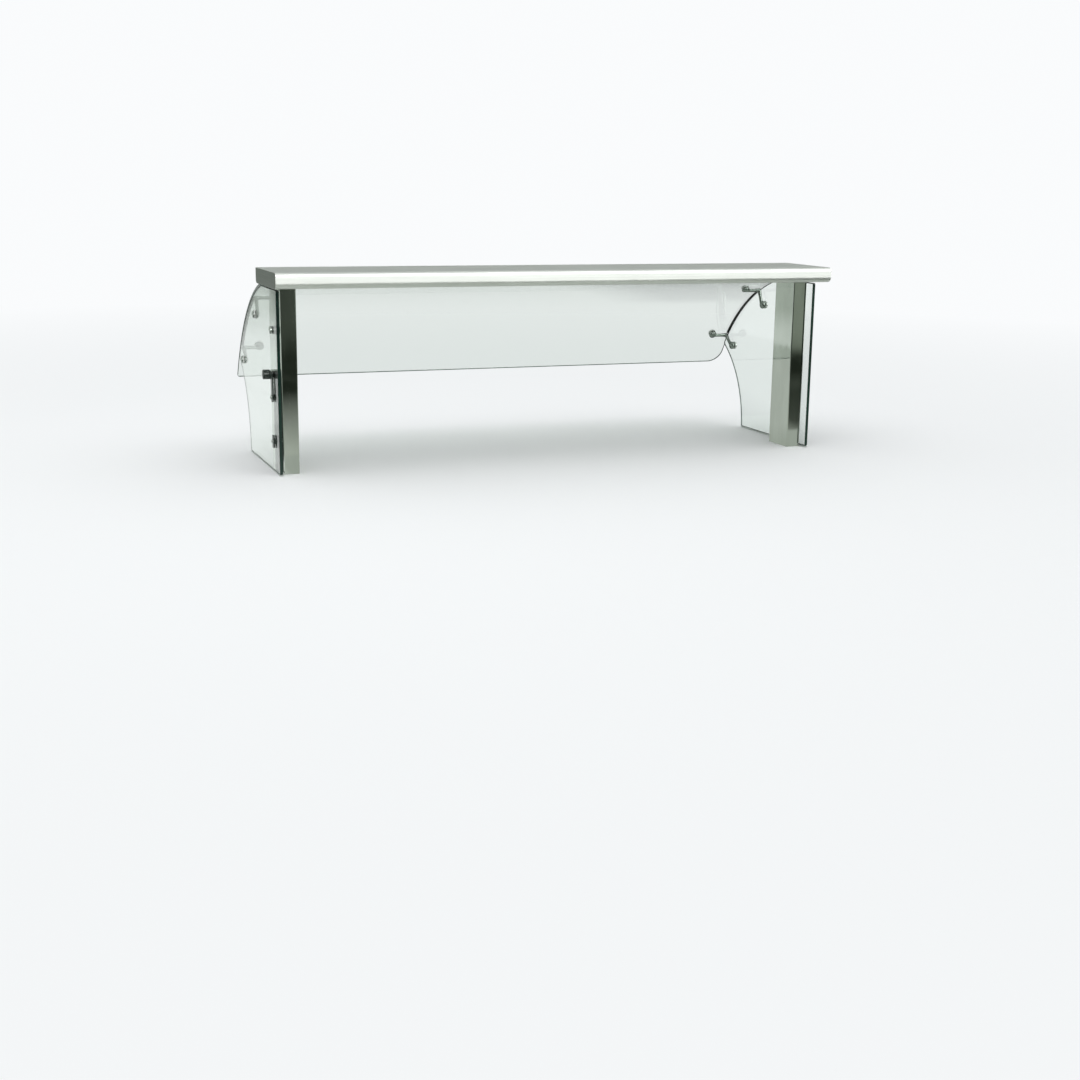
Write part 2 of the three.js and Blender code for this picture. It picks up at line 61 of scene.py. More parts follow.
SHEET = 0.0015  # shelf steel
NOSE_TOP, NOSE_BOTTOM = 0.010, 0.014  # radii of the shelf's front edge
BACK_TOP, BACK_BOTTOM = 0.004, 0.012  # radii of its back edge
SHELF_LIP = 0.018  # flat lips under the shelf
SHELF_RIM = 0.0012  # ground weld round each end of the shelf
HAT_HALF, HAT_FLANGE, HAT_BEND = 0.017, 0.029, 0.003  # stiffener: half widths and bend radius
CUT_EDGE = 0.0003  # rounding of sawn and sheared edges

POST_WALL, POST_CORNER, POST_INNER_CORNER = 0.002, 0.003, 0.002

GLASS = 0.008
ARRIS = 0.0021  # ground-off corner of a glass edge
ARC_FROM, ARC_TO = 27.4, 77.4  # bent front glass, degrees
ARC_INNER = 0.530
ARC_Z = -0.066
END_ARC = ARC_INNER - 0.001  # edge of the end glass, just inside the front glass
FRONT_CORNER = {"left": 0.006, "right": 0.040}
FRONT_TOP_CORNER = 0.003
BEND_STRIPS = 80  # narrow flat strips that make up the bend
TIP_RADIUS, END_CORNER = 0.009, 0.004
CUT_RADIUS = 0.280  # concave customer-side edge of the end glass
CUT_OFFSET = 0.594  # its centre, beyond the shelf's centre line
PAINTED_PALE_BELOW = 0.23  # up to this height, the customer side of the end glass has a pale edge, a painted reflection
GLASS_HOLE = 0.005
STRIP_CORNER, STRIP_ROUNDING = 0.0008, 0.0005

REACH = 0.050  # from the corner of the glass to a bracket's boss
ARM_OFFSET, ARM, KNUCKLE = 0.0063, 0.0045, 0.006
ARM_TAPER = 0.4  # share of the arm over which it narrows from the knuckle
BOSS, BOSS_HEIGHT, BOSS_RIM, BOSS_BORE = 0.011, 0.010, 0.0045, 0.0033
BOSS_CROWN = 0.0015  # metal left between bore and crown
CAST_VOXEL = 0.0007  # fineness of the cast skin
WASHER, WASHER_HOLE, WASHER_THICK, WASHER_ROUNDING = 0.011, 0.0034, 0.002, 0.0005
LINER_INSET, LINER_CLEARANCE, LINER_ROUNDING = 0.0004, 0.001, 0.0001
SEAL, SEAL_MARGIN = 0.003, 0.85  # radius of the corner cord; degrees left free at each bracket
SHANK, SHANK_HOLE = 0.003, 0.0033
BOLT_SOCKET = (0.002, 0.002)  # radius and depth
CAP_SCREW = dict(length=0.019, radius=0.010, height=0.005, rim=0.0015, socket=(0.0023, 0.0026))
POST_BOLTS = {  # bolts through the end glass into the post
    "post_stud": dict(length=0.0273, radius=0.010, height=0.005, rim=0.002, socket=BOLT_SOCKET),
    "patch_bolt": dict(length=0.0306, radius=0.006, height=0.003, rim=0.001, socket=BOLT_SOCKET),
    "cap_bolt": dict(length=0.0306, radius=0.012, height=0.016, rim=0.0135, socket=BOLT_SOCKET),
    "foot_bolt": dict(length=0.0306, radius=0.006, height=0.003, rim=0.001, socket=BOLT_SOCKET),
}
PATCH_LEG_WIDTH, PATCH_LEG_HEIGHT = 0.018, 0.022
PATCH_CORNER, PATCH_INNER_CORNER, FOOT_CORNER = 0.005, 0.003, 0.003
FITTING_ROUNDING = 0.0007
PAD_CORNER, PAD_ROUNDING = 0.002, 0.0008

CORNER_STEPS, SMALL_STEPS, BEND_STEPS = 8, 6, 5  # segments of a quarter turn

shelf_low, shelf_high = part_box("overshelf")
post_boxes = {name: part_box(f"post_{name}") for name in SIDES}
glass_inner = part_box("end_glass_right")[0].x
glass_outer = glass_inner + GLASS
arc_outer = ARC_INNER + GLASS
arc_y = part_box("front_glass")[1].y - arc_outer * math.cos(math.radians(ARC_FROM))
cut_y = (shelf_low.y + shelf_high.y) / 2 + CUT_OFFSET

# ---- Camera ------------------------------------------------------------------------------------------

CAMERA_PLACE = (-1.502, -3.982, 0.727)
CAMERA_HEADING, CAMERA_DOWN, CAMERA_ROLL = 21.18, 13.16, 0.76  # degrees; heading from +Y towards +X
CAMERA_LENS = 51.91


def add_camera():
    data = bpy.data.cameras.new("camera")
    data.lens = CAMERA_LENS
    data.sensor_width = 36
    camera = bpy.data.objects.new("camera", data)
    bpy.context.scene.collection.objects.link(camera)
    turn = Matrix.Rotation(-math.radians(CAMERA_HEADING), 4, "Z")
    tilt = Matrix.Rotation(math.radians(90 - CAMERA_DOWN), 4, "X")
    roll = Matrix.Rotation(math.radians(CAMERA_ROLL), 4, "Z")
    camera.matrix_world = Matrix.Translation(CAMERA_PLACE) @ turn @ tilt @ roll
    bpy.context.scene.camera = camera


add_camera()

# ---- Node helpers ------------------------------------------------------------------------------------


class Nodes:
    """A material or world being built: adds nodes and links them by socket name."""

    def __init__(self, owner):
        owner.use_nodes = True
        self.tree = owner.node_tree
        self.tree.nodes.clear()

    def add(self, kind, **settings):
        node = self.tree.nodes.new(kind)
        for key, value in settings.items():
            setattr(node, key, value)
        return node

    def link(self, source, target):
        self.tree.links.new(source, target)

    def object_noise(self, stretch, scale, detail=3.0, roughness=0.5):
        """Noise over the piece's own coordinates, stretched by a factor along each axis."""
        place = self.add("ShaderNodeTexCoord")
        mapping = self.add("ShaderNodeMapping")
        mapping.inputs["Scale"].default_value = stretch
        self.link(place.outputs["Object"], mapping.inputs["Vector"])
        noise = self.add("ShaderNodeTexNoise")
        noise.inputs["Scale"].default_value = scale
        noise.inputs["Detail"].default_value = detail
        noise.inputs["Roughness"].default_value = roughness
        self.link(mapping.outputs["Vector"], noise.inputs["Vector"])
        return noise.outputs["Fac"]

    def ramp(self, value, low, high, low_colour, high_colour):
        ramp = self.add("ShaderNodeValToRGB")
        ramp.color_ramp.elements[0].position = low
        ramp.color_ramp.elements[1].position = high
        ramp.color_ramp.elements[0].color = low_colour
        ramp.color_ramp.elements[1].color = high_colour
        self.link(value, ramp.inputs["Fac"])
        return ramp.outputs["Color"]

    def span(self, value, low, high, to_low, to_high):
        """Maps a value from one range to another."""
        node = self.add("ShaderNodeMapRange")
        node.inputs["From Min"].default_value = low
        node.inputs["From Max"].default_value = high
        node.inputs["To Min"].default_value = to_low
        node.inputs["To Max"].default_value = to_high
        self.link(value, node.inputs["Value"])
        return node.outputs["Result"]

    def rise(self, value, limits):
        """From 0 at the lower limit to 1 at the upper one."""
        return self.span(value, *limits, 0.0, 1.0)

    def fall(self, value, limits):
        """From 1 at the lower limit to 0 at the upper one."""
        return self.span(value, *limits, 1.0, 0.0)

    def math(self, operation, one, other):
        node = self.add("ShaderNodeMath", operation=operation)
        for socket, value in zip(node.inputs, (one, other)):
            if isinstance(value, (int, float)):
                socket.default_value = value
            else:
                self.link(value, socket)
        return node.outputs["Value"]

    def product(self, first, *others):
        for other in others:
            first = self.math("MULTIPLY", first, other)
        return first

    def bump(self, height, strength, distance):
        node = self.add("ShaderNodeBump")
        node.inputs["Strength"].default_value = strength
        node.inputs["Distance"].default_value = distance
        self.link(height, node.inputs["Height"])
        return node.outputs["Normal"]


def principled(name, **constants):
    """A new material with its Principled shader linked to the output."""
    material = bpy.data.materials.new(name)
    nodes = Nodes(material)
    shader = nodes.add("ShaderNodeBsdfPrincipled")
    output = nodes.add("ShaderNodeOutputMaterial")
    nodes.link(shader.outputs["BSDF"], output.inputs["Surface"])
    for key, value in constants.items():
        shader.inputs[key.replace("_", " ")].default_value = value
    return material, nodes, shader, output


# ---- Materials ---------------------------------------------------------------------------------------

EVEN = (1, 1, 1)  # noise that isn't stretched along any axis
WIDE = (0.3, 0.7)  # noise values between which a colour or a roughness runs
HIGH = (0.35, 0.7)
HIGHER = (0.35, 0.75)


def textured(name, noise, colours, roughness, relief, limits=WIDE, rough_limits=WIDE, **constants):
    """A material whose colour, roughness and relief all follow one noise."""
    material, nodes, shader, _ = principled(name, **constants)
    value = nodes.object_noise(**noise)
    nodes.link(nodes.ramp(value, *limits, *colours), shader.inputs["Base Color"])
    nodes.link(nodes.span(value, *rough_limits, *roughness), shader.inputs["Roughness"])
    nodes.link(nodes.bump(value, **relief), shader.inputs["Normal"])
    return material


def satin_steel():
    """Folded stainless sheet with a fine lengthwise grain and faint cloudy wiping marks."""
    material, nodes, shader, _ = principled("satin_steel", Metallic=1.0)
    grain = nodes.object_noise((3, 700, 700), 1.0, detail=2)
    cloud = nodes.object_noise((1, 2, 2), 7.0, detail=4)
    mixed = nodes.math("ADD", nodes.math("MULTIPLY", grain, 0.6), nodes.math("MULTIPLY", cloud, 0.4))
    colour = nodes.ramp(mixed, *WIDE, (0.74, 0.75, 0.73, 1), (0.84, 0.85, 0.83, 1))
    nodes.link(colour, shader.inputs["Base Color"])
    nodes.link(nodes.span(mixed, *WIDE, 0.42, 0.52), shader.inputs["Roughness"])
    nodes.link(nodes.bump(grain, strength=0.12, distance=0.00004), shader.inputs["Normal"])
    return material


def end_steel_painted_shade():
    """The shelf's welded end caps, ground coarser than its folded sheet; their much darker colour is painted
    shade.
    """
    return textured(
        "end_steel_painted_shade",
        noise={"stretch": (700, 4, 700), "scale": 1.0, "detail": 2},
        colours=((0.088, 0.104, 0.086, 1), (0.132, 0.150, 0.128, 1)),
        roughness=(0.30, 0.42),
        relief={"strength": 0.12, "distance": 0.00004},
        Metallic=1.0,
    )


def mirror_steel():
    """Mirror-polished tube: almost clean reflections, slightly wavy, with faint wiping haze."""
    material, nodes, shader, _ = principled("mirror_steel", Metallic=1.0)
    haze = nodes.object_noise((1, 1, 0.35), 18.0, detail=5)
    colour = nodes.ramp(haze, *HIGH, (0.60, 0.62, 0.58, 1), (0.68, 0.70, 0.66, 1))
    nodes.link(colour, shader.inputs["Base Color"])
    nodes.link(nodes.span(haze, *HIGHER, 0.03, 0.11), shader.inputs["Roughness"])
    wave = nodes.object_noise((1, 1, 0.25), 30.0, detail=1)
    nodes.link(nodes.bump(wave, strength=0.25, distance=0.0006), shader.inputs["Normal"])
    return material


def chrome(name, dull, bright):
    """Chrome plating in the given tones, over a cast or turned piece; the brackets' much darker tones are
    painted shade.
    """
    return textured(
        name,
        noise={"stretch": EVEN, "scale": 140.0, "detail": 4},
        colours=(dull, bright),
        roughness=(0.05, 0.14),
        relief={"strength": 0.06, "distance": 0.0001},
        limits=HIGH,
        rough_limits=HIGHER,
        Metallic=1.0,
    )


def zinc_steel():
    """Zinc plating with its dull spangle."""
    return textured(
        "zinc_steel",
        noise={"stretch": EVEN, "scale": 220.0, "detail": 5, "roughness": 0.7},
        colours=((0.44, 0.46, 0.46, 1), (0.60, 0.61, 0.59, 1)),
        roughness=(0.32, 0.5),
        relief={"strength": 0.2, "distance": 0.0002},
        limits=HIGH,
        rough_limits=HIGH,
        Metallic=1.0,
    )


def dark_metal():
    """Smooth dark coating over steel, slightly glossy and a little rubbed."""
    return textured(
        "dark_metal",
        noise={"stretch": EVEN, "scale": 160.0, "detail": 5, "roughness": 0.6},
        colours=((0.010, 0.018, 0.014, 1), (0.030, 0.044, 0.037, 1)),
        roughness=(0.22, 0.38),
        relief={"strength": 0.08, "distance": 0.0001},
        limits=HIGH,
        rough_limits=HIGH,
        IOR=1.5,
        Coat_Weight=0.3,
        Coat_Roughness=0.12,
    )


def white_nylon():
    """Moulded nylon, faintly mottled and a little translucent."""
    return textured(
        "white_nylon",
        noise={"stretch": EVEN, "scale": 300.0},
        colours=((0.74, 0.76, 0.72, 1), (0.83, 0.84, 0.81, 1)),
        roughness=(0.38, 0.5),
        relief={"strength": 0.1, "distance": 0.0001},
        IOR=1.5,
        Subsurface_Weight=0.2,
        Subsurface_Scale=0.002,
        Subsurface_Radius=(1.0, 1.0, 0.9),
    )


def black_rubber():
    """Matt rubber with a fine grain."""
    return textured(
        "black_rubber",
        noise={"stretch": EVEN, "scale": 900.0, "detail": 4, "roughness": 0.7},
        colours=((0.012, 0.013, 0.012, 1), (0.035, 0.037, 0.034, 1)),
        roughness=(0.55, 0.75),
        relief={"strength": 0.25, "distance": 0.0002},
        IOR=1.5,
    )


def let_lamps_through(nodes, shader, output):
    """Lets lamp light pass straight through clear glass, so that its shadow stays faint."""
    path = nodes.add("ShaderNodeLightPath")
    clear = nodes.add("ShaderNodeBsdfTransparent")
    clear.inputs["Color"].default_value = (0.86, 0.92, 0.88, 1)
    mix = nodes.add("ShaderNodeMixShader")
    nodes.link(path.outputs["Is Shadow Ray"], mix.inputs[0])
    nodes.link(shader.outputs["BSDF"], mix.inputs[1])
    nodes.link(clear.outputs["BSDF"], mix.inputs[2])
    nodes.link(mix.outputs["Shader"], output.inputs["Surface"])


def clear_glass(name, tint):
    """Float glass, clear but for its tint."""
    material, nodes, shader, output = principled(
        name, Base_Color=tint, Roughness=0.0, IOR=1.5, Transmission_Weight=1.0
    )
    let_lamps_through(nodes, shader, output)
    return material


def glass_edge(name, deep, light):
    """Ground and polished edge of the glass, drawn opaque in the depth's green; its dark copy is painted
    shade and its pale copy a painted reflection.
    """
    material, nodes, shader, _ = principled(name, IOR=1.5)
    drift = nodes.object_noise(EVEN, 9.0, detail=2)
    nodes.link(nodes.ramp(drift, 0.35, 0.65, deep, light), shader.inputs["Base Color"])
    rub = nodes.object_noise(EVEN, 400.0, detail=3)
    nodes.link(nodes.span(rub, *WIDE, 0.10, 0.22), shader.inputs["Roughness"])
    nodes.link(nodes.bump(rub, strength=0.08, distance=0.0001), shader.inputs["Normal"])
    return material


def clear_plastic():
    """Milky clear strip, unevenly dulled."""
    material, nodes, shader, _ = principled(
        "clear_plastic", Base_Color=(0.80, 0.85, 0.81, 1), IOR=1.45, Transmission_Weight=0.6
    )
    cloud = nodes.object_noise(EVEN, 90.0)
    nodes.link(nodes.span(cloud, *WIDE, 0.25, 0.4), shader.inputs["Roughness"])
    return material


MATERIALS = {
    "satin_steel": satin_steel(),
    "mirror_steel": mirror_steel(),
    "zinc_steel": zinc_steel(),
    "chrome": chrome("chrome", (0.50, 0.53, 0.51, 1), (0.62, 0.64, 0.62, 1)),
    "dark_metal": dark_metal(),
    "clear_glass": clear_glass("clear_glass", (0.905, 0.945, 0.92, 1)),
    "clear_plastic": clear_plastic(),
    "white_nylon": white_nylon(),
    "black_rubber": black_rubber(),
}
BENT_GLASS = clear_glass("bent_glass", (0.85, 0.885, 0.86, 1))
# The brackets' chrome is drawn much darker than the screws': painted shade.
CAST_CHROME_PAINTED_SHADE = chrome("cast_chrome_painted_shade", (0.20, 0.23, 0.21, 1), (0.34, 0.37, 0.35, 1))
END_STEEL_PAINTED_SHADE = end_steel_painted_shade()
# Glass edge colours are painted light: the dark one is painted shade, the pale one a painted reflection.
PAINTED_DARK_EDGE = glass_edge("glass_edge_painted_shade", (0.004, 0.016, 0.011, 1), (0.010, 0.034, 0.024, 1))
PAINTED_PALE_EDGE = glass_edge("glass_edge_painted_reflection", (0.16, 0.24, 0.20, 1), (0.26, 0.34, 0.30, 1))

# ---- Shape helpers -----------------------------------------------------------------------------------


def arc(x, y, radius, start, end, steps):
    """Points of a circular arc from one angle to another, in degrees."""
    angles = [math.radians(start + (end - start) * i / steps) for i in range(steps + 1)]
    return [(x + radius * math.cos(a), y + radius * math.sin(a)) for a in angles]


def circle(x, y, radius, steps=48):
    return arc(x, y, radius, 0, 360, steps)[:steps]


def rounded_box(x_low, x_high, y_low, y_high, radius, steps=CORNER_STEPS):
    return [
        *arc(x_high - radius, y_high - radius, radius, 0, 90, steps),
        *arc(x_low + radius, y_high - radius, radius, 90, 180, steps),
        *arc(x_low + radius, y_low + radius, radius, 180, 270, steps),
        *arc(x_high - radius, y_low + radius, radius, 270, 360, steps),
    ]


def frame_matrix(origin, x_axis, y_axis):
    """Matrix of a right-handed local frame with the given origin and first two axes."""
    x_axis, y_axis = Vector(x_axis).normalized(), Vector(y_axis).normalized()
    columns = Matrix((x_axis, y_axis, x_axis.cross(y_axis))).transposed().to_4x4()
    return Matrix.Translation(origin) @ columns


def new_object(name, mesh):
    obj = bpy.data.objects.new(name, mesh)
    bpy.context.scene.collection.objects.link(obj)
    return obj


def bake(obj):
    """Replaces an object by its evaluated mesh, and returns the mesh."""
    bpy.context.view_layer.update()
    graph = bpy.context.evaluated_depsgraph_get()
    mesh = bpy.data.meshes.new_from_object(obj.evaluated_get(graph), depsgraph=graph)
    bpy.data.objects.remove(obj)
    return mesh


def clean(mesh, matrix=None):
    """Welds a mesh's doubled points, turns its faces outwards and moves it into place."""
    work = bmesh.new()
    work.from_mesh(mesh)
    bmesh.ops.remove_doubles(work, verts=work.verts, dist=1e-6)
    bmesh.ops.dissolve_degenerate(work, edges=work.edges, dist=1e-7)
    bmesh.ops.recalc_face_normals(work, faces=work.faces)
    if matrix is not None:
        work.transform(matrix)
    work.to_mesh(mesh)
    work.free()
    return mesh


def soften(mesh, sharp_angle=35):
    """Smooth shading that keeps flat faces flat and breaks at edges sharper than the angle."""
    mesh.shade_smooth()
    mesh.set_sharp_from_angle(angle=math.radians(sharp_angle))
    obj = new_object("softened", mesh)
    weights = obj.modifiers.new("weights", "WEIGHTED_NORMAL")
    weights.keep_sharp = True
    return bake(obj)


def plate(outline, holes, thickness, rounding, rounding_steps=3):
    """A flat sheet centred on height 0, its rims rounded, from an outline and holes in its plane."""
    curve = bpy.data.curves.new("plate", "CURVE")
    curve.dimensions = "2D"
    curve.fill_mode = "BOTH"
    curve.extrude = thickness / 2 - rounding
    curve.bevel_depth = rounding
    curve.bevel_resolution = rounding_steps - 1
    curve.offset = -rounding
    for loop in [outline, *holes]:
        spline = curve.splines.new("POLY")
        spline.points.add(len(loop) - 1)
        for point, (x, y) in zip(spline.points, loop):
            point.co = (x, y, 0, 1)
        spline.use_cyclic_u = True
    obj = new_object("plate", curve)
    return clean(bake(obj))


def turned(profile, steps=48):
    """A closed turned piece about +Z, from [radius, height] points that start and end on the axis."""
    work = bmesh.new()
    rings = []
    for radius, height in profile:
        if radius == 0:
            rings.append([work.verts.new((0, 0, height))])
        else:
            rings.append([work.verts.new((x, y, height)) for x, y in circle(0, 0, radius, steps)])
    for one, other in zip(rings, rings[1:]):
        for i in range(steps):
            j = (i + 1) % steps
            corners = [one[i % len(one)], one[j % len(one)], other[j % len(other)], other[i % len(other)]]
            work.faces.new(list(dict.fromkeys(corners)))
    mesh = bpy.data.meshes.new("turned")
    work.to_mesh(mesh)
    work.free()
    return clean(mesh)


def prism_mesh(outline, low, high):
    """A plain closed prism along +Z."""
    work = bmesh.new()
    bottom = work.faces.new([work.verts.new((x, y, low)) for x, y in outline])
    top = bmesh.ops.extrude_face_region(work, geom=[bottom])["geom"]
    lifted = [v for v in top if isinstance(v, bmesh.types.BMVert)]
    bmesh.ops.translate(work, verts=lifted, vec=(0, 0, high - low))
    mesh = bpy.data.meshes.new("prism")
    work.to_mesh(mesh)
    work.free()
    return clean(mesh)


def combine(meshes):
    """One mesh with every given mesh's faces."""
    work = bmesh.new()
    for mesh in meshes:
        work.from_mesh(mesh)
    result = bpy.data.meshes.new("combined")
    work.to_mesh(result)
    work.free()
    return result


def carve(mesh, cutters):
    """Cuts closed meshes out of a closed mesh."""
    obj = new_object("carved", mesh)
    tools = [new_object("cutter", cutter) for cutter in cutters]
    for tool in tools:
        cut = obj.modifiers.new("cut", "BOOLEAN")
        cut.operation = "DIFFERENCE"
        cut.solver = "EXACT"
        cut.object = tool
    result = bake(obj)
    for tool in tools:
        bpy.data.objects.remove(tool)
    return clean(result)


def put(name, mesh, slot, node, body="root", place=None):
    """Shows a finished mesh in place of a CAD node, with the material of its slot."""
    mesh.name = name
    if not mesh.materials:
        mesh.materials.append(MATERIALS[slot])
    obj = new_object(name, mesh)
    if place is not None:
        obj.matrix_world = place
    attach(obj, body)
    if node is not None:
        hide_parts(node)
    return obj


# ---- Overshelf and stiffeners ------------------------------------------------------------------------

YZ_PLANE = frame_matrix((0, 0, 0), (0, 1, 0), (0, 0, 1))  # local x, y and z are the frame's y, z and x


def shelf_outline(inset, steps=12):
    """The shelf's closed section in the frame's y and z, inset from its outer faces."""
    front, bottom = shelf_low.y, shelf_low.z
    back, top = shelf_high.y, shelf_high.z
    return [
        *arc(front + NOSE_BOTTOM, bottom + NOSE_BOTTOM, NOSE_BOTTOM - inset, 270, 180, steps),
        *arc(front + NOSE_TOP, top - NOSE_TOP, NOSE_TOP - inset, 180, 90, steps),
        *arc(back - BACK_TOP, top - BACK_TOP, BACK_TOP - inset, 90, 0, SMALL_STEPS),
        *arc(back - BACK_BOTTOM, bottom + BACK_BOTTOM, BACK_BOTTOM - inset, 0, -90, steps),
    ]


def overshelf():
    length = shelf_high.x - shelf_low.x
    half = length / 2 - SHEET
    body = plate(shelf_outline(0), [], length, SHELF_RIM)
    cavity = prism_mesh(shelf_outline(SHEET), -half, half)
    front = shelf_low.y + NOSE_BOTTOM + SHELF_LIP
    back = shelf_high.y - BACK_BOTTOM - SHELF_LIP
    bottom = shelf_low.z
    mouth_outline = [(front, bottom - SHEET), (back, bottom - SHEET)]
    mouth_outline += [(back, bottom + 2 * SHEET), (front, bottom + 2 * SHEET)]
    mouth = prism_mesh(mouth_outline, -half, half)
    mesh = carve(body, [cavity, mouth])
    mesh.transform(YZ_PLANE)
    mesh = soften(mesh)
    # The end faces get the steel darkened with painted shade.
    for material in (MATERIALS["satin_steel"], END_STEEL_PAINTED_SHADE):
        mesh.materials.append(material)
    facing_out = 0.9
    for polygon in mesh.polygons:
        is_end = abs(polygon.normal.x) > facing_out and abs(polygon.center.x) > half
        polygon.material_index = 1 if is_end else 0
    put("overshelf_shell", mesh, "satin_steel", "overshelf")


def stiffener(place):
    """Hat-section stiffener with rounded bends."""
    node = f"shelf_stiffener_{place}"
    low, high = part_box(node)
    middle = (low.y + high.y) / 2
    half, flange, bend = HAT_HALF, HAT_FLANGE, HAT_BEND
    top_bend, low_bend = high.z - SHEET - bend, low.z + bend  # heights of the bends' centres
    outline = [
        (middle - flange, high.z),
        (middle - flange, high.z - SHEET),
        *arc(middle - half - bend, top_bend, bend, 90, 0, BEND_STEPS),
        *arc(middle - half + bend, low_bend, bend, 180, 270, BEND_STEPS),
        *arc(middle + half - bend, low_bend, bend, 270, 360, BEND_STEPS),
        *arc(middle + half + bend, top_bend, bend, 180, 90, BEND_STEPS),
        (middle + flange, high.z - SHEET),
        (middle + flange, high.z),
        *arc(middle + half + bend, top_bend, bend + SHEET, 90, 180, BEND_STEPS),
        *arc(middle + half - bend, low_bend, bend - SHEET, 360, 270, BEND_STEPS),
        *arc(middle - half + bend, low_bend, bend - SHEET, 270, 180, BEND_STEPS),
        *arc(middle - half - bend, top_bend, bend + SHEET, 0, 90, BEND_STEPS),
    ]
    mesh = plate(outline, [], high.x - low.x, CUT_EDGE, 1)
    mesh.transform(YZ_PLANE)
    put(f"stiffener_{place}", soften(mesh), "satin_steel", node)


# ---- Posts -------------------------------------------------------------------------------------------


def post(name):
    low, high = post_boxes[name]
    outline = rounded_box(low.x, high.x, low.y, high.y, POST_CORNER)
    wall = POST_WALL
    bore = rounded_box(low.x + wall, high.x - wall, low.y + wall, high.y - wall, POST_INNER_CORNER)
    mesh = plate(outline, [bore], high.z - low.z, CUT_EDGE, 1)
    mesh.transform(Matrix.Translation((0, 0, (high.z + low.z) / 2)))
    put(f"post_tube_{name}", soften(mesh), "mirror_steel", f"post_{name}")


# ---- Glass -------------------------------------------------------------------------------------------


def on_arc(radius, degrees):
    angle = math.radians(degrees)
    return (arc_y + radius * math.cos(angle), ARC_Z + radius * math.sin(angle))


def bolt_place(bolt):
    """Where a bolt goes through the end glass into the post, as y and z."""
    low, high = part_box(f"{bolt}_right")
    return ((low.y + high.y) / 2, (low.z + high.z) / 2)


def end_glass_outline():
    """Straight foot, operator edge and top, an arc under the front glass, a tip and a concave edge."""
    low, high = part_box("end_glass_right")
    top_angle = math.degrees(math.asin((high.z - ARC_Z) / END_ARC))
    inner, outer = END_ARC - TIP_RADIUS, CUT_RADIUS + TIP_RADIUS
    dy, dz = cut_y - arc_y, -ARC_Z
    apart = math.hypot(dy, dz)
    along = (inner**2 - outer**2 + apart**2) / (2 * apart)
    aside = math.sqrt(inner**2 - along**2)
    tip_y = arc_y + (along * dy - aside * dz) / apart
    tip_z = ARC_Z + (along * dz + aside * dy) / apart
    tip_angle = math.degrees(math.atan2(tip_z - ARC_Z, tip_y - arc_y))
    cut_angle = math.degrees(math.atan2(tip_z, tip_y - cut_y))
    foot_angle = 180 - math.degrees(math.asin(low.z / CUT_RADIUS))
    corner = END_CORNER
    return [
        *arc(low.y + corner, high.z - corner, corner, 180, 90, CORNER_STEPS),
        *arc(arc_y, ARC_Z, END_ARC, top_angle, tip_angle, 60),
        *arc(tip_y, tip_z, TIP_RADIUS, tip_angle, cut_angle - 180, 16)[1:-1],
        *arc(cut_y, 0, CUT_RADIUS, cut_angle, foot_angle, 48),
        *arc(low.y + corner, low.z + corner, corner, 270, 180, CORNER_STEPS),
    ]


def paint_edges(mesh, glass, is_face, is_painted_pale):
    """Gives the glass's edge faces their own materials: painted shade on most, and a painted pale reflection
    on those the last test picks.
    """
    for material in (glass, PAINTED_DARK_EDGE, PAINTED_PALE_EDGE):
        mesh.materials.append(material)
    for polygon in mesh.polygons:
        if not is_face(polygon):
            polygon.material_index = 2 if is_painted_pale(polygon) else 1


def end_glass(name, sign):
    holes = [circle(*on_arc(ARC_INNER - REACH, angle), GLASS_HOLE) for angle in LEVELS.values()]
    holes += [circle(*bolt_place(bolt), GLASS_HOLE) for bolt in POST_BOLTS]
    mesh = plate(end_glass_outline(), holes, GLASS, ARRIS)
    mesh.transform(YZ_PLANE)
    mesh.transform(Matrix.Translation((sign * (glass_inner + glass_outer) / 2, 0, 0)))
    mesh = soften(mesh)
    flat, to_customer = 0.999, 0.3
    # Low edges facing the customer get the painted pale reflection; the other edges get painted shade.
    paint_edges(
        mesh,
        MATERIALS["clear_glass"],
        lambda polygon: abs(polygon.normal.x) > flat,
        lambda polygon: polygon.normal.y > to_customer and polygon.center.z < PAINTED_PALE_BELOW,
    )
    put(f"end_pane_{name}", mesh, "clear_glass", f"end_glass_{name}")


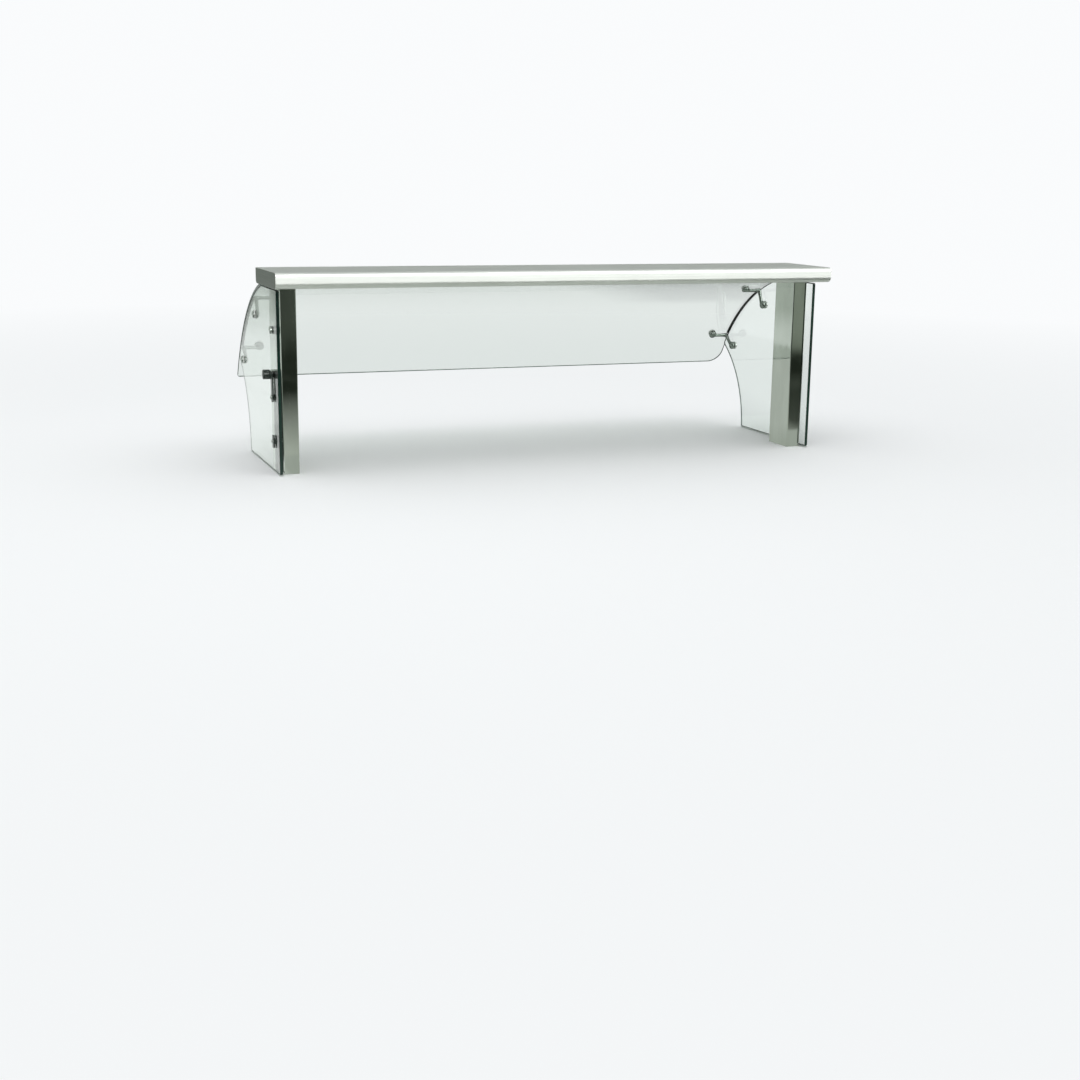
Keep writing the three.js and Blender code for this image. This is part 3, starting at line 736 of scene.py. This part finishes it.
def front_glass():
    """A flat cut sheet, scored into narrow strips across and then bent round the arc."""
    radius = ARC_INNER + GLASS / 2
    length = radius * math.radians(ARC_TO - ARC_FROM)
    left, right = FRONT_CORNER["left"], FRONT_CORNER["right"]
    edge = glass_outer
    upper = FRONT_TOP_CORNER
    outline = [
        *arc(edge - upper, length - upper, upper, 0, 90, SMALL_STEPS),
        *arc(-edge + upper, length - upper, upper, 90, 180, SMALL_STEPS),
        *arc(-edge + left, left, left, 180, 270, CORNER_STEPS),
        *arc(edge - right, right, right, 270, 360, 2 * CORNER_STEPS),
    ]
    hole_x = glass_inner - REACH
    heights = [radius * math.radians(angle - ARC_FROM) for angle in LEVELS.values()]
    holes = [circle(sign * hole_x, height, GLASS_HOLE) for sign in SIDES.values() for height in heights]
    work = bmesh.new()
    work.from_mesh(plate(outline, holes, GLASS, ARRIS))
    for i in range(1, BEND_STRIPS):
        geometry = [*work.verts, *work.edges, *work.faces]
        score = (0, length * i / BEND_STRIPS, 0)
        bmesh.ops.bisect_plane(work, geom=geometry, plane_co=score, plane_no=(0, 1, 0))
    for vert in work.verts:
        angle = math.radians(ARC_FROM) + vert.co.y / radius
        distance = radius - vert.co.z
        y, z = arc_y + distance * math.cos(angle), ARC_Z + distance * math.sin(angle)
        vert.co = (vert.co.x, y, z)
    mesh = bpy.data.meshes.new("front_glass")
    work.to_mesh(mesh)
    work.free()
    mesh = soften(clean(mesh))
    tolerance = 0.0002
    sideways = 0.5

    def is_face(polygon):
        reach = math.hypot(polygon.center.y - arc_y, polygon.center.z - ARC_Z)
        return abs(abs(reach - radius) - GLASS / 2) < tolerance

    # The bent glass's top and bottom edges get the painted pale reflection; its ends get painted shade.
    paint_edges(mesh, BENT_GLASS, is_face, lambda polygon: abs(polygon.normal.x) < sideways)
    put("front_pane", mesh, "clear_glass", "front_glass")


def foot_strip(name):
    """Clear strip that the end glass stands on."""
    low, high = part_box(f"foot_strip_{name}")
    outline = rounded_box(low.y, high.y, low.z, high.z, STRIP_CORNER, 4)
    mesh = plate(outline, [], high.x - low.x, STRIP_ROUNDING, 2)
    mesh.transform(YZ_PLANE)
    mesh.transform(Matrix.Translation(((low.x + high.x) / 2, 0, 0)))
    put(f"foot_strip_soft_{name}", soften(mesh), "clear_plastic", f"foot_strip_{name}")


# ---- Corner brackets, screws and washers -------------------------------------------------------------


def dome(radius, height, rim, steps=10):
    """Profile points of a domed cap from its rim to its top: a straight rim, then a quarter ellipse."""
    rise = height - rim
    angles = [math.radians(90 * i / steps) for i in range(steps + 1)]
    points = [(radius * math.cos(a), rim + rise * math.sin(a)) for a in angles]
    return [*points[:-1], (0, height)]


def bracket_mesh():
    """Cast bracket in its own frame: an arm along x over the front glass, one along y over the end glass."""
    boss = turned([(0, LINER + GAP), (BOSS, LINER + GAP), *dome(BOSS, BOSS_HEIGHT, BOSS_RIM)])
    run = REACH - ARM_OFFSET
    arm = turned([(0, 0), (KNUCKLE, 0), (ARM, run * ARM_TAPER), (ARM, run), (0, run)])
    along_x = frame_matrix((ARM_OFFSET, ARM_OFFSET, 0), (0, 1, 0), (0, 0, 1))
    along_y = frame_matrix((ARM_OFFSET, ARM_OFFSET, 0), (0, 0, 1), (1, 0, 0))
    boss_on_x = frame_matrix((REACH, 0, 0), (0, 0, 1), (1, 0, 0))
    boss_on_y = frame_matrix((0, REACH, 0), (0, 1, 0), (0, 0, 1))
    parts = []
    for shape, places in ((arm, (along_x, along_y)), (boss, (boss_on_x, boss_on_y))):
        for place in places:
            copy = shape.copy()
            copy.transform(place)
            parts.append(copy)
    ball = turned([(0, -KNUCKLE), *arc(0, 0, KNUCKLE, -75, 75, 10), (0, KNUCKLE)])
    ball.transform(Matrix.Translation((ARM_OFFSET, ARM_OFFSET, 0)))
    parts.append(ball)
    obj = new_object("bracket", combine(parts))
    skin = obj.modifiers.new("skin", "REMESH")
    skin.mode = "VOXEL"
    skin.voxel_size = CAST_VOXEL
    smooth = obj.modifiers.new("smooth", "SMOOTH")
    smooth.factor = 0.5
    smooth.iterations = 4
    cast = clean(bake(obj))
    depth = BOSS_HEIGHT - BOSS_CROWN
    bore = turned([(0, -GLASS), (BOSS_BORE, -GLASS), (BOSS_BORE, depth), (0, depth)])
    bores = []
    for place in (boss_on_x, boss_on_y):
        copy = bore.copy()
        copy.transform(place)
        bores.append(copy)
    return soften(carve(cast, bores), sharp_angle=50)


def screw_mesh(length, radius, height, rim, socket):
    """Domed socket screw about +Z, its head's seat at height 0."""
    chamfer = 0.0006
    arris = 0.0003
    profile = [
        (0, -length),
        (SHANK - chamfer, -length),
        (SHANK, -length + chamfer),
        (SHANK, 0),
        (radius - arris, 0),
        (radius, arris),
        *dome(radius, height, rim, 14),
    ]
    body = turned(profile, 64)
    socket_radius, depth = socket
    recess = prism_mesh(circle(0, 0, socket_radius, 6), height - depth, height + depth)
    return soften(carve(body, [recess]))


def ring_mesh(radius, hole, thickness, rounding):
    """A flat ring about +Z that stands on height 0."""
    mesh = plate(circle(0, 0, radius, 64), [circle(0, 0, hole)], thickness, rounding)
    mesh.transform(Matrix.Translation((0, 0, thickness / 2)))
    return soften(mesh)


def outward(point, direction):
    """Local frame whose z points outwards from the point."""
    direction = Vector(direction).normalized()
    side = direction.cross((1, 0, 0)) if abs(direction.x) < 0.9 else direction.cross((0, 0, 1))
    return frame_matrix(point, side, direction.cross(side))


def bracket_holes(sign, degrees):
    """The two holes of a bracket: the middle of each mouth on the inner face, and the way out."""
    angle = math.radians(degrees)
    front = Vector((sign * (glass_inner - REACH), *on_arc(ARC_INNER, degrees)))
    end = Vector((sign * glass_inner, *on_arc(ARC_INNER - REACH, degrees)))
    return {
        "front": (front, Vector((0, math.cos(angle), math.sin(angle)))),
        "end": (end, Vector((sign, 0, 0))),
    }


def corner_fixings():
    """Brackets, their screws and washers on the outside of the glass, and liners on its inside."""
    bracket = bracket_mesh()
    screw = screw_mesh(**CAP_SCREW)
    washer = ring_mesh(WASHER, WASHER_HOLE, WASHER_THICK, WASHER_ROUNDING)
    liner_hole = BOSS_BORE + LINER_CLEARANCE
    liner = ring_mesh(BOSS - LINER_INSET, liner_hole, LINER - 2 * GAP, LINER_ROUNDING)
    # Brackets get the darkened chrome: painted shade.
    bracket.materials.append(CAST_CHROME_PAINTED_SHADE)
    screw.materials.append(MATERIALS["chrome"])
    for mesh in (washer, liner):
        mesh.materials.append(MATERIALS["white_nylon"])
    for name, sign in SIDES.items():
        for level, degrees in LEVELS.items():
            place = f"{name}_{level}"
            angle = math.radians(degrees)
            corner = Vector((sign * glass_inner, *on_arc(ARC_INNER, degrees)))
            towards_axis = (0, -math.cos(angle), -math.sin(angle))
            seat = frame_matrix(corner, (-sign, 0, 0), towards_axis)
            put(f"bracket_cast_{place}", bracket, "chrome", f"corner_bracket_{place}", place=seat)
            for pane, (mouth, out) in bracket_holes(sign, degrees).items():
                washer_node, screw_node = f"{pane}_washer_{place}", f"{pane}_screw_{place}"
                seat = outward(mouth + out * (GLASS + GAP), out)
                put(f"{pane}_ring_{place}", washer, "white_nylon", washer_node, washer_node, seat)
                seat = outward(mouth + out * (GLASS + WASHER_THICK + 2 * GAP), out)
                put(f"{pane}_cap_screw_{place}", screw, "chrome", screw_node, screw_node, seat)
                seat = outward(mouth - out * (LINER - GAP), out)
                put(f"liner_{pane}_{place}", liner, "white_nylon", None, place=seat)


def corner_seal(name, sign):
    """Rubber cord in the corner between end glass and front glass, from bracket to bracket."""
    inset = SEAL + GAP
    start, end = LEVELS["lower"] + SEAL_MARGIN, LEVELS["upper"] - SEAL_MARGIN
    curve = bpy.data.curves.new("cord", "CURVE")
    curve.dimensions = "3D"
    curve.bevel_depth = SEAL
    curve.bevel_resolution = 6
    curve.use_fill_caps = True
    points = arc(arc_y, ARC_Z, ARC_INNER - inset, start, end, 60)
    spline = curve.splines.new("POLY")
    spline.points.add(len(points) - 1)
    for point, (y, z) in zip(spline.points, points):
        point.co = (sign * (glass_inner - inset), y, z, 1)
    mesh = soften(clean(bake(new_object("cord", curve))))
    put(f"corner_cord_{name}", mesh, "black_rubber", f"corner_seal_{name}")


# ---- Post fixings ------------------------------------------------------------------------------------


def side_plate(outline, holes, x_low, x_high, rounding):
    """A plate in the frame's yz plane between two x values."""
    mesh = plate(outline, holes, x_high - x_low, rounding)
    mesh.transform(YZ_PLANE)
    mesh.transform(Matrix.Translation(((x_low + x_high) / 2, 0, 0)))
    return soften(mesh)


def patch_outline(low, high):
    """L shape: a wide head with a leg down its operator side."""
    radius = PATCH_CORNER
    leg_back = low.y + PATCH_LEG_WIDTH
    leg_low = high.z - PATCH_LEG_HEIGHT
    inner = PATCH_INNER_CORNER
    return [
        *arc(low.y + radius, low.z + radius, radius, 180, 270, CORNER_STEPS),
        *arc(leg_back - radius, low.z + radius, radius, 270, 360, CORNER_STEPS),
        *arc(leg_back + inner, leg_low - inner, inner, 180, 90, SMALL_STEPS),
        *arc(high.y - radius, leg_low + radius, radius, 270, 360, CORNER_STEPS),
        *arc(high.y - radius, high.z - radius, radius, 0, 90, CORNER_STEPS),
        *arc(low.y + radius, high.z - radius, radius, 90, 180, CORNER_STEPS),
    ]


def pad(name, node, outline, bolts):
    """Rubber packing between post and glass, with a hole for each bolt that passes it."""
    low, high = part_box(node)
    holes = [circle(*bolt_place(bolt), SHANK_HOLE) for bolt in bolts]
    put(name, side_plate(outline, holes, low.x, high.x, PAD_ROUNDING), "black_rubber", node)


def round_outline(node):
    low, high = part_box(node)
    return circle((low.y + high.y) / 2, (low.z + high.z) / 2, (high.z - low.z) / 2)


def square_outline(node, radius):
    low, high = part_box(node)
    return rounded_box(low.y, high.y, low.z, high.z, radius)


def post_fixings(name, sign):
    """Plates, packing and bolts that hold an end glass to its post."""
    low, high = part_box(f"patch_plate_{name}")
    holes = [circle(*bolt_place(bolt), SHANK_HOLE) for bolt in ("patch_bolt", "cap_bolt")]
    mesh = side_plate(patch_outline(low, high), holes, low.x, high.x, FITTING_ROUNDING)
    put(f"patch_fitting_{name}", mesh, "dark_metal", f"patch_plate_{name}")
    node = f"foot_patch_{name}"
    low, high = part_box(node)
    holes = [circle(*bolt_place("foot_bolt"), SHANK_HOLE)]
    mesh = side_plate(square_outline(node, FOOT_CORNER), holes, low.x, high.x, FITTING_ROUNDING)
    put(f"foot_fitting_{name}", mesh, "dark_metal", node)
    for kind, bolt in (("stud", "post_stud"), ("cap", "cap_bolt")):
        node = f"{kind}_spacer_{name}"
        pad(f"{kind}_pad_{name}", node, round_outline(node), [bolt])
    node = f"edge_spacer_{name}"
    pad(f"edge_pad_{name}", node, square_outline(node, PAD_CORNER), ["patch_bolt", "foot_bolt"])
    for bolt, shape in POST_BOLTS.items():
        low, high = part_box(f"{bolt}_{name}")
        face = high.x if sign > 0 else -low.x
        seat = outward((sign * (face - shape["height"]), *bolt_place(bolt)), (sign, 0, 0))
        slot = "dark_metal" if bolt == "cap_bolt" else "chrome"
        put(f"{bolt}_head_{name}", screw_mesh(**shape), slot, f"{bolt}_{name}", place=seat)


# ---- Carried-over nodes ------------------------------------------------------------------------------


def finish_cad_nodes():
    """Gives the CAD nodes that are shown as they are the material of their slot."""
    for part in frame["record"]["subparts"]:
        obj = frame["nodes"][part["node"]]
        obj.data.materials.clear()
        obj.data.materials.append(MATERIALS[part["material_slot"]])


# ---- Stage and light ---------------------------------------------------------------------------------
# To the eye, and through the glass, the stage is a pale floor that fades into white surroundings. What
# metal and glass mirror is a room instead. Its floor is a pale worktop, dark in front of it, grey-green
# far off to the right, bright behind the guard's left end, and dark behind it on the right and beside it
# on the left. Around it are a dark front with a softbox, a back that is darker on the right, and a pale
# ceiling. Pairs of numbers are the limits between which one part gives way to the next: metres on the
# floor, and the components of a unit direction in the surroundings.

BACKGROUND = (0.955, 0.968, 0.978, 1)
FLOOR_FADE = (1.6, 5.0)  # distance over which the floor turns into background
FLOOR_ALBEDO = (0.88, 0.89, 0.89, 1)
FLOOR_HALF, FLOOR_DROP = 20, 0.0005

WORKTOP_EDGE = (-0.50, -0.48)  # y, where the floor in front gives way to the worktop
DARK_OUTER = (-3.60, -3.10)  # y, the outer limit of the darkest floor in front
DARK_LEAN = 0.5  # how far that limit comes forward for each metre of x
DARK_INNER = (-1.70, -0.54)  # y, from the darkest floor to the apron before the worktop
APRON_RIGHT = (0.7, 0.95)  # x, where the apron turns dim
FAR_RIGHT = (1.2, 2.4)  # x, where the floor beyond the darkest stretch turns grey-green
BLOTCH_SCALE, BLOTCHES = 1.7, (0.5, 0.65)
REAR_FROM = (-0.15, 0.15)  # y, from the worktop to its paler rear
SHADED_RIGHT = (0.55, 0.80)  # x, where the floor behind the guard turns dark
SHADE_LEAN = 0.3  # how far that line moves to the left for each metre of y
SHADED_FROM = (0.30, 0.34)  # y, where that dark floor starts
SHADED_LEFT = (-0.95, -0.85)  # x, left of this the floor is dark too
BESIDE_LINE = (-0.45, -0.30)  # x + y, as far back as that goes
SHADE_END = (2.0, 3.0)  # how far out to either side both dark stretches reach
BRIGHT_LEFT = (-0.76, -0.70)  # x, left of this the floor behind the guard is bright
BRIGHT_DEPTH = (3.0, 4.5)  # y, how far back it is bright

SOFTBOX_FOOT = (0.02, 0.10)  # z
SOFTBOX_LEFT = (-0.45, -0.20)  # x
SOFTBOX_RIGHT = (0.70, 0.90)  # x
BACK_SHADE = (-0.10, 0.05)  # x, from the pale back to its dark stretch
BACK_SHADE_END = (0.80, 0.92)  # x, and to pale again
BACK_CEILING = (0.30, 0.65)  # z
FRONT_TO_BACK = (-0.25, 0.15)  # y
OVERHEAD = (0.60, 0.80)  # z

MIRROR_DARK = (0.020, 0.026, 0.019, 1)
MIRROR_DIM = (0.060, 0.072, 0.058, 1)
MIRROR_GREEN = (0.24, 0.28, 0.23, 1)
MIRROR_APRON = (0.50, 0.55, 0.49, 1)
MIRROR_WORKTOP = (0.46, 0.51, 0.46, 1)
MIRROR_REAR = (0.55, 0.60, 0.555, 1)
MIRROR_BRIGHT = (0.87, 0.91, 0.89, 1)
MIRROR_BACK = (0.50, 0.55, 0.505, 1)
MIRROR_SHADE = (0.05, 0.07, 0.055, 1)
SOFTBOX = (3.75, 3.85, 3.75, 1)
CEILING = (0.66, 0.69, 0.67, 1)

LAMP_PLACE, LAMP_TARGET = (-0.8, -0.8, 2.6), (0, 0, 0.2)
LAMP_SIZE, LAMP_POWER = (1.6, 1.6), 9


def mirrored(nodes):
    """1 once a ray has been reflected anywhere on its way, and 0 to the eye or straight through glass."""
    path = nodes.add("ShaderNodeLightPath")
    return nodes.math("GREATER_THAN", path.outputs["Glossy Depth"], 0.5)


def mix_colours(nodes, factor, one, other):
    mix = nodes.add("ShaderNodeMix", data_type="RGBA")
    for socket, value in ((mix.inputs[0], factor), (mix.inputs[6], one), (mix.inputs[7], other)):
        if isinstance(value, bpy.types.NodeSocket):
            nodes.link(value, socket)
        else:
            socket.default_value = value
    return mix.outputs[2]


def mirrored_floor(nodes, x, y):
    """Colour of the floor as metal and glass mirror it."""
    far = mix_colours(nodes, nodes.rise(x, FAR_RIGHT), MIRROR_DIM, MIRROR_GREEN)
    blotches = nodes.rise(nodes.object_noise(EVEN, BLOTCH_SCALE, detail=2), BLOTCHES)
    dark = mix_colours(nodes, blotches, MIRROR_DARK, MIRROR_DIM)
    outer = nodes.math("SUBTRACT", y, nodes.math("MULTIPLY", x, DARK_LEAN))
    front = mix_colours(nodes, nodes.rise(outer, DARK_OUTER), far, dark)
    apron = mix_colours(nodes, nodes.rise(x, APRON_RIGHT), MIRROR_APRON, MIRROR_DIM)
    front = mix_colours(nodes, nodes.rise(y, DARK_INNER), front, apron)

    behind = mix_colours(nodes, nodes.rise(y, REAR_FROM), MIRROR_WORKTOP, MIRROR_REAR)
    leaning = nodes.math("ADD", x, nodes.math("MULTIPLY", y, SHADE_LEAN))
    shaded = nodes.product(
        nodes.rise(leaning, SHADED_RIGHT), nodes.rise(y, SHADED_FROM), nodes.fall(x, SHADE_END)
    )
    behind = mix_colours(nodes, shaded, behind, MIRROR_SHADE)
    bright = nodes.product(nodes.fall(x, BRIGHT_LEFT), nodes.fall(y, BRIGHT_DEPTH))
    behind = mix_colours(nodes, bright, behind, MIRROR_BRIGHT)
    to_left = nodes.math("MULTIPLY", x, -1.0)
    beside = nodes.product(
        nodes.fall(nodes.math("ADD", x, y), BESIDE_LINE),
        nodes.fall(x, SHADED_LEFT),
        nodes.fall(to_left, SHADE_END),
    )
    behind = mix_colours(nodes, beside, behind, MIRROR_SHADE)
    return mix_colours(nodes, nodes.rise(y, WORKTOP_EDGE), front, behind)


def add_floor():
    work = bmesh.new()
    bmesh.ops.create_grid(work, x_segments=1, y_segments=1, size=FLOOR_HALF)
    mesh = bpy.data.meshes.new("floor")
    work.to_mesh(mesh)
    work.free()
    floor = new_object("floor", mesh)
    floor.location.z = -FLOOR_DROP
    material = bpy.data.materials.new("pale_floor")
    material.cycles.emission_sampling = "NONE"
    nodes = Nodes(material)
    place = nodes.add("ShaderNodeTexCoord")
    split = nodes.add("ShaderNodeSeparateXYZ")
    nodes.link(place.outputs["Object"], split.inputs[0])
    pale = nodes.add("ShaderNodeBsdfDiffuse")
    pale.inputs["Color"].default_value = FLOOR_ALBEDO
    far = nodes.add("ShaderNodeEmission")
    far.inputs["Color"].default_value = BACKGROUND
    distance = nodes.add("ShaderNodeVectorMath", operation="LENGTH")
    nodes.link(place.outputs["Object"], distance.inputs[0])
    fade = nodes.rise(distance.outputs["Value"], FLOOR_FADE)
    seen = nodes.add("ShaderNodeMixShader")
    nodes.link(fade, seen.inputs[0])
    nodes.link(pale.outputs["BSDF"], seen.inputs[1])
    nodes.link(far.outputs["Emission"], seen.inputs[2])
    mirror = nodes.add("ShaderNodeEmission")
    nodes.link(mirrored_floor(nodes, split.outputs["X"], split.outputs["Y"]), mirror.inputs["Color"])
    mix = nodes.add("ShaderNodeMixShader")
    nodes.link(mirrored(nodes), mix.inputs[0])
    nodes.link(seen.outputs["Shader"], mix.inputs[1])
    nodes.link(mirror.outputs["Emission"], mix.inputs[2])
    output = nodes.add("ShaderNodeOutputMaterial")
    nodes.link(mix.outputs["Shader"], output.inputs["Surface"])
    mesh.materials.append(material)


def add_world():
    world = bpy.data.worlds.new("studio")
    world.cycles.sampling_method = "NONE"
    bpy.context.scene.world = world
    nodes = Nodes(world)
    place = nodes.add("ShaderNodeTexCoord")
    split = nodes.add("ShaderNodeSeparateXYZ")
    nodes.link(place.outputs["Generated"], split.inputs[0])
    x, y, z = (split.outputs[axis] for axis in "XYZ")
    softbox = nodes.product(
        nodes.rise(z, SOFTBOX_FOOT), nodes.rise(x, SOFTBOX_LEFT), nodes.fall(x, SOFTBOX_RIGHT)
    )
    front = mix_colours(nodes, softbox, MIRROR_DARK, SOFTBOX)
    low_back = mix_colours(nodes, nodes.rise(x, BACK_SHADE), MIRROR_BACK, MIRROR_SHADE)
    low_back = mix_colours(nodes, nodes.rise(x, BACK_SHADE_END), low_back, MIRROR_BACK)
    back = mix_colours(nodes, nodes.rise(z, BACK_CEILING), low_back, CEILING)
    level = mix_colours(nodes, nodes.rise(y, FRONT_TO_BACK), front, back)
    room = mix_colours(nodes, nodes.rise(z, OVERHEAD), level, CEILING)
    studio = nodes.add("ShaderNodeBackground")
    nodes.link(room, studio.inputs["Color"])
    plain = nodes.add("ShaderNodeBackground")
    plain.inputs["Color"].default_value = BACKGROUND
    mix = nodes.add("ShaderNodeMixShader")
    nodes.link(mirrored(nodes), mix.inputs[0])
    nodes.link(plain.outputs["Background"], mix.inputs[1])
    nodes.link(studio.outputs["Background"], mix.inputs[2])
    output = nodes.add("ShaderNodeOutputWorld")
    nodes.link(mix.outputs["Shader"], output.inputs["Surface"])


def add_lamp():
    """One soft lamp over the guard, which isn't mirrored: the room has a softbox of its own."""
    data = bpy.data.lights.new("top_softbox", "AREA")
    data.shape = "RECTANGLE"
    data.size, data.size_y = LAMP_SIZE
    data.energy = LAMP_POWER
    lamp = bpy.data.objects.new("top_softbox", data)
    lamp.visible_glossy = False
    bpy.context.scene.collection.objects.link(lamp)
    aim = Vector(LAMP_TARGET) - Vector(LAMP_PLACE)
    turn = aim.to_track_quat("-Z", "Y").to_matrix().to_4x4()
    lamp.matrix_world = Matrix.Translation(LAMP_PLACE) @ turn


# ---- Assembly ----------------------------------------------------------------------------------------

finish_cad_nodes()
overshelf()
for stiffener_place in ("front", "back"):
    stiffener(stiffener_place)
for side, side_sign in SIDES.items():
    post(side)
    end_glass(side, side_sign)
    foot_strip(side)
    corner_seal(side, side_sign)
    post_fixings(side, side_sign)
front_glass()
corner_fixings()
add_floor()
add_world()
add_lamp()
bpy.context.scene.view_settings.view_transform = "Standard"
